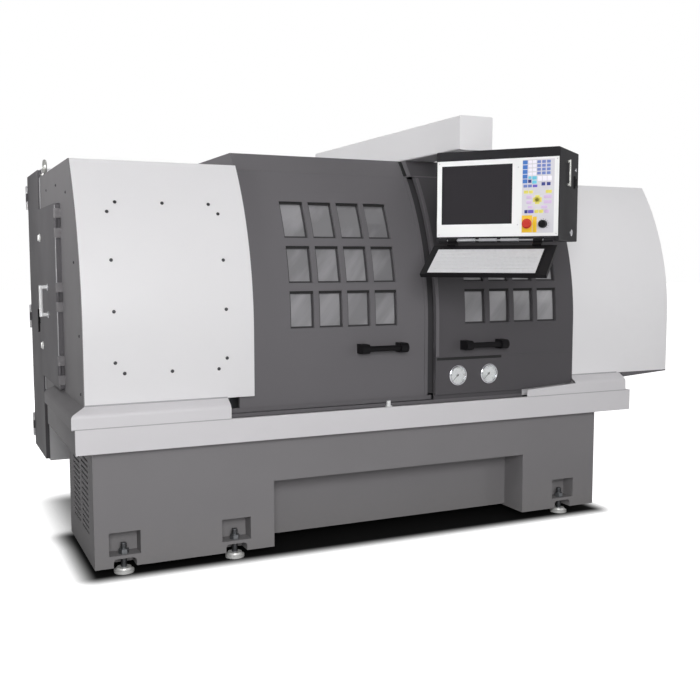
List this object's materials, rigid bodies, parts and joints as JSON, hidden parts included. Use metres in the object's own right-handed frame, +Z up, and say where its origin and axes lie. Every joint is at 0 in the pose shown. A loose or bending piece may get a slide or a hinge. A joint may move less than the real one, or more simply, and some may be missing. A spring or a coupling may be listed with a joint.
{
  "type": "cnc turning lathe",
  "caption": "Flat-bed turning lathe with sliding windowed doors on a curved enclosure, a chip tray on a pedestal, and a hanging control pendant with a keyboard shelf.",
  "frame": {"origin": "underside centre of the front left levelling pad", "axes": "+X along the spindle from headstock to tailstock, +Y from the operator to the rear, +Z up"},
  "size_m": [3.1663, 2.4394, 1.949],
  "materials": {
    "white_paint": "satin",
    "dark_paint": "satin",
    "base_paint": "satin",
    "light_paint": "satin",
    "black_plastic": "matte",
    "white_plastic": "satin",
    "screen_black": "gloss",
    "grey_plastic": "matte",
    "red_plastic": "gloss",
    "window": "clear",
    "steel": "ground",
    "sheet_steel": "zinc",
    "chrome": "polished",
    "iron": "machined",
    "casting": "painted",
    "motor_paint": "matte",
    "needle_black": "matte",
    "belt_rubber": "matte"
  },
  "bodies": {
    "base": {"base_pedestal": "base_paint", "levelling_pads": "steel", "jack_screws": "iron", "chip_tray": "white_paint", "left_ledge": "white_paint", "right_ledge": "white_paint", "door_track": "dark_paint", "headstock_cover": "white_paint", "end_frame": "dark_paint", "hinge_pins": "steel", "rear_panel": "dark_paint", "tail_cover": "white_paint", "tail_floor": "dark_paint", "gauge_panel": "dark_paint", "electrical_cabinet": "light_paint", "cabinet_brackets": "base_paint", "drive_rack": "sheet_steel", "lifting_eyes": "steel", "enclosure_roof": "dark_paint", "gauge_cases": "chrome", "pendant_arm": "light_paint", "bed": "iron", "headstock": "casting", "spindle_motor": "motor_paint", "drive_belt": "belt_rubber"},
    "access_door": {"access_door": "dark_paint", "access_handle": "chrome"},
    "cabinet_door": {"cabinet_door": "dark_paint"},
    "cabinet_latch": {"cabinet_latch": "black_plastic"},
    "main_door": {"main_door": "dark_paint", "main_door_window": "window", "main_door_handle": "black_plastic"},
    "right_door": {"right_door": "dark_paint", "right_door_window": "window", "right_door_handle": "black_plastic"},
    "needle_left": {"needle_left": "needle_black"},
    "needle_right": {"needle_right": "needle_black"},
    "pendant": {"pendant_housing": "black_plastic", "pendant_bezel": "white_plastic", "screen": "screen_black", "keypad": "grey_plastic", "shelf_pin": "steel"},
    "emergency_stop": {"emergency_stop": "red_plastic"},
    "override_knob": {"override_knob": "black_plastic"},
    "keyboard_shelf": {"keyboard_shelf": "black_plastic", "keyboard": "grey_plastic"},
    "spindle": {"spindle": "steel", "spindle_pulley": "iron", "chuck_body": "iron"},
    "chuck_jaw_1": {"chuck_jaw_1": "steel"},
    "chuck_jaw_2": {"chuck_jaw_2": "steel"},
    "chuck_jaw_3": {"chuck_jaw_3": "steel"},
    "motor_pulley": {"motor_pulley": "iron"},
    "saddle": {"saddle": "casting"},
    "cross_slide": {"cross_slide": "casting"},
    "tool_turret": {"tool_turret": "steel"},
    "ball_screw": {"ball_screw": "steel"},
    "tailstock": {"tailstock": "casting"},
    "quill": {"quill": "steel"},
    "handwheel": {"handwheel": "steel"}
  },
  "joints": [
    {"name": "main_door_slide", "type": "slide", "parent": "base", "child": "main_door", "axis": [1, 0, 0], "range_m": [-0.48, 0]},
    {"name": "right_door_slide", "type": "slide", "parent": "base", "child": "right_door", "axis": [1, 0, 0], "range_m": [0, 0.48]},
    {"name": "access_door_hinge", "type": "hinge", "parent": "base", "child": "access_door", "pos_m": [-0.1753, 0.467, 1.14], "axis": [0, 0, 1], "range_deg": [0, 110]},
    {"name": "cabinet_door_hinge", "type": "hinge", "parent": "base", "child": "cabinet_door", "pos_m": [-0.1623, 1.682, 0.9955], "axis": [0, 0, -1], "range_deg": [0, 110]},
    {"name": "cabinet_latch_turn", "type": "hinge", "parent": "cabinet_door", "child": "cabinet_latch", "pos_m": [-0.1603, 1.25, 0.9955], "axis": [1, 0, 0], "range_deg": [0, 90]},
    {"name": "needle_left_turn", "type": "hinge", "parent": "base", "child": "needle_left", "pos_m": [1.602, -0.046, 0.758], "axis": [0, 1, 0], "range_deg": [0, 270]},
    {"name": "needle_right_turn", "type": "hinge", "parent": "base", "child": "needle_right", "pos_m": [1.779, -0.046, 0.758], "axis": [0, 1, 0], "range_deg": [0, 270]},
    {"name": "pendant_swivel", "type": "hinge", "parent": "base", "child": "pendant", "pos_m": [1.546, -0.192, 1.789], "axis": [0, 0, 1], "range_deg": [-60, 0]},
    {"name": "emergency_stop_press", "type": "slide", "parent": "pendant", "child": "emergency_stop", "axis": [0.788, 0.6157, 0], "range_m": [0, 0.008]},
    {"name": "override_knob_turn", "type": "hinge", "parent": "pendant", "child": "override_knob", "pos_m": [1.69647, -0.57951, 1.464], "axis": [-0.788, -0.6157, 0], "range_deg": [-135, 135]},
    {"name": "keyboard_fold", "type": "hinge", "parent": "pendant", "child": "keyboard_shelf", "pos_m": [1.44041, -0.2745, 1.397], "axis": [-0.6157, 0.788, 0], "range_deg": [0, 40]},
    {"name": "spindle_spin", "type": "hinge", "parent": "base", "child": "spindle", "pos_m": [0.565, 0.368, 1.13], "axis": [1, 0, 0], "continuous": true},
    {"name": "motor_spin", "type": "hinge", "parent": "base", "child": "motor_pulley", "pos_m": [-0.069, 0.898, 0.962], "axis": [1, 0, 0], "continuous": true},
    {"name": "jaw_1_slide", "type": "slide", "parent": "spindle", "child": "chuck_jaw_1", "axis": [0, 0, -1], "range_m": [-0.008, 0.008]},
    {"name": "jaw_2_slide", "type": "slide", "parent": "spindle", "child": "chuck_jaw_2", "axis": [0, 0.866, 0.5], "range_m": [-0.008, 0.008]},
    {"name": "jaw_3_slide", "type": "slide", "parent": "spindle", "child": "chuck_jaw_3", "axis": [0, -0.866, 0.5], "range_m": [-0.008, 0.008]},
    {"name": "saddle_slide", "type": "slide", "parent": "base", "child": "saddle", "axis": [1, 0, 0], "range_m": [-0.2, 0.2]},
    {"name": "ball_screw_spin", "type": "hinge", "parent": "base", "child": "ball_screw", "pos_m": [1.435, 0.122, 0.75], "axis": [1, 0, 0], "continuous": true},
    {"name": "cross_slide_feed", "type": "slide", "parent": "saddle", "child": "cross_slide", "axis": [0, 1, 0], "range_m": [-0.04, 0.08]},
    {"name": "turret_index", "type": "hinge", "parent": "cross_slide", "child": "tool_turret", "pos_m": [1.145, 0.228, 1.076], "axis": [0, 0, 1], "continuous": true},
    {"name": "tailstock_slide", "type": "slide", "parent": "base", "child": "tailstock", "axis": [1, 0, 0], "range_m": [0, 0.15]},
    {"name": "handwheel_turn", "type": "hinge", "parent": "tailstock", "child": "handwheel", "pos_m": [2.165, 0.368, 1.13], "axis": [1, 0, 0], "range_deg": [0, 3600]},
    {"name": "quill_feed", "type": "slide", "parent": "tailstock", "child": "quill", "axis": [-1, 0, 0], "range_m": [0, 0.1]}
  ],
  "couplings": [
    {"joint": "motor_spin", "follows": "spindle_spin", "ratio": 1.6667},
    {"joint": "jaw_2_slide", "follows": "jaw_1_slide", "ratio": 1},
    {"joint": "jaw_3_slide", "follows": "jaw_1_slide", "ratio": 1},
    {"joint": "ball_screw_spin", "follows": "saddle_slide", "rad_per_m": 314.16},
    {"joint": "quill_feed", "follows": "handwheel_turn", "m_per_rad": 0.0015915}
  ]
}
